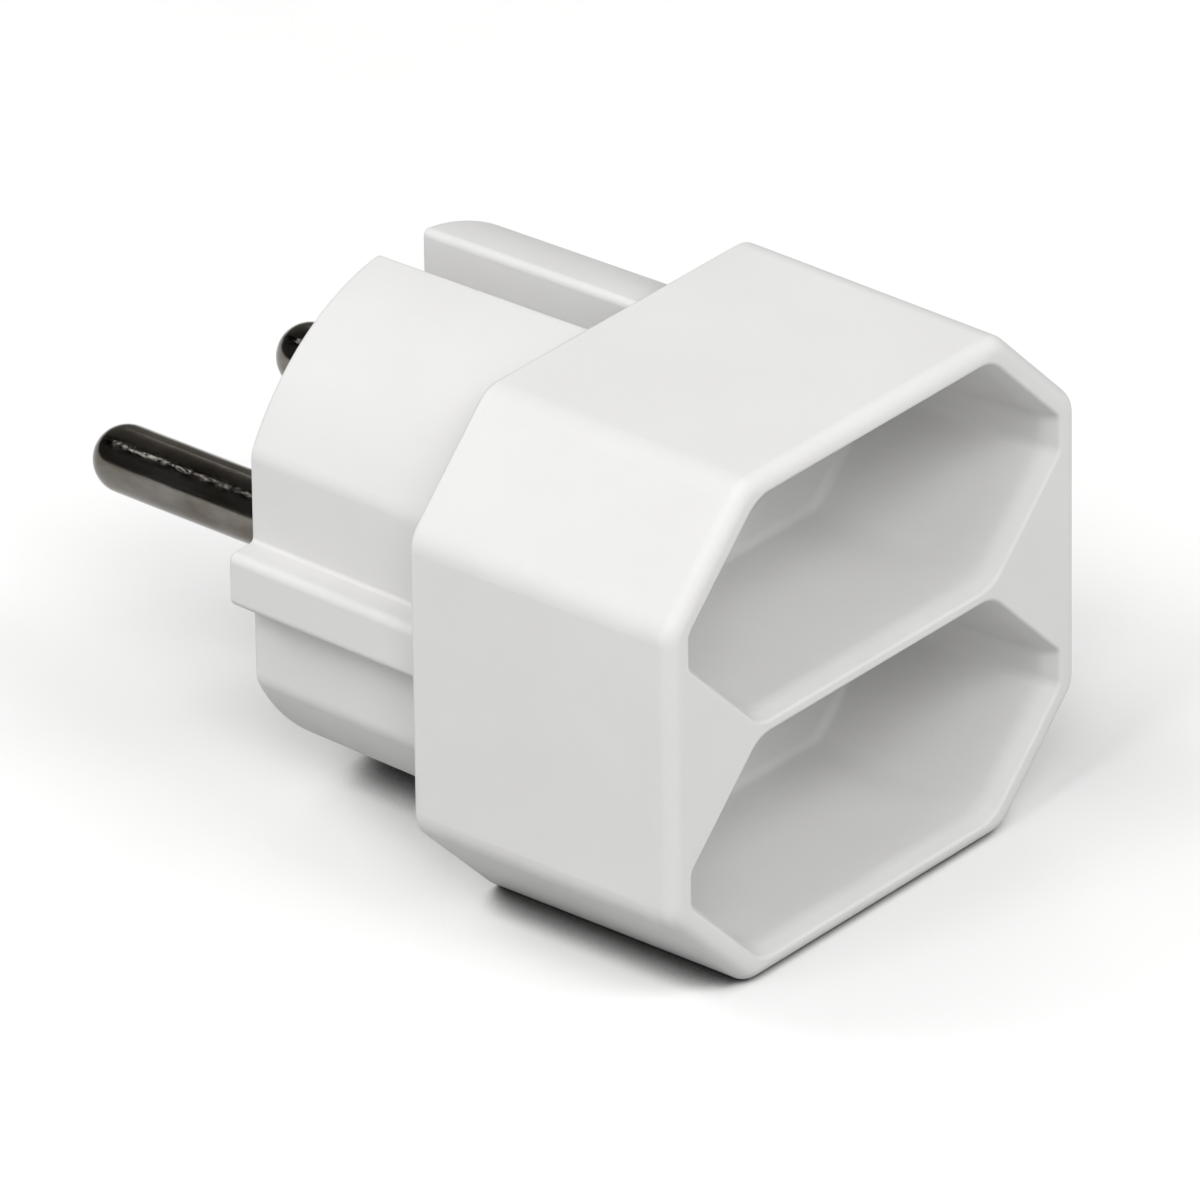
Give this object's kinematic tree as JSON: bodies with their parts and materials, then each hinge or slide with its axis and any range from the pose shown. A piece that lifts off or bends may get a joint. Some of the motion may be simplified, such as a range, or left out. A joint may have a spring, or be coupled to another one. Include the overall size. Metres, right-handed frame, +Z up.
{
  "type": "multi socket adapter",
  "caption": "White moulded mains adapter: a contour plug with round pins behind a head with stacked recesses for flat plugs.",
  "frame": {"origin": "on the pin face of the plug body, midway between the two pins", "axes": "+Y along the pins, away from the head; +X from the left pin to the right pin; +Z up, from the lower recess to the upper one, with the head's underside resting on the table"},
  "size_m": [0.043, 0.06, 0.0378],
  "materials": {
    "housing": "satin white moulded plastic",
    "retainer": "matt insulating plate",
    "pin_nickel": "nickel plated, polished, with fine turning marks",
    "contact_brass": "rolled and stamped sheet",
    "spring_steel": "bright rolled spring strip",
    "screw_steel": "zinc plated"
  },
  "bodies": {
    "root": {"head_housing": "housing", "plug_housing": "housing", "contact_retainer": "retainer", "cover_screw": "screw_steel", "pin_left": "pin_nickel", "pin_right": "pin_nickel", "contact_strip_left": "contact_brass", "contact_strip_right": "contact_brass", "spring_clip_upper_left": "spring_steel", "spring_clip_lower_left": "spring_steel", "spring_clip_upper_right": "spring_steel", "spring_clip_lower_right": "spring_steel"}
  },
  "joints": []
}
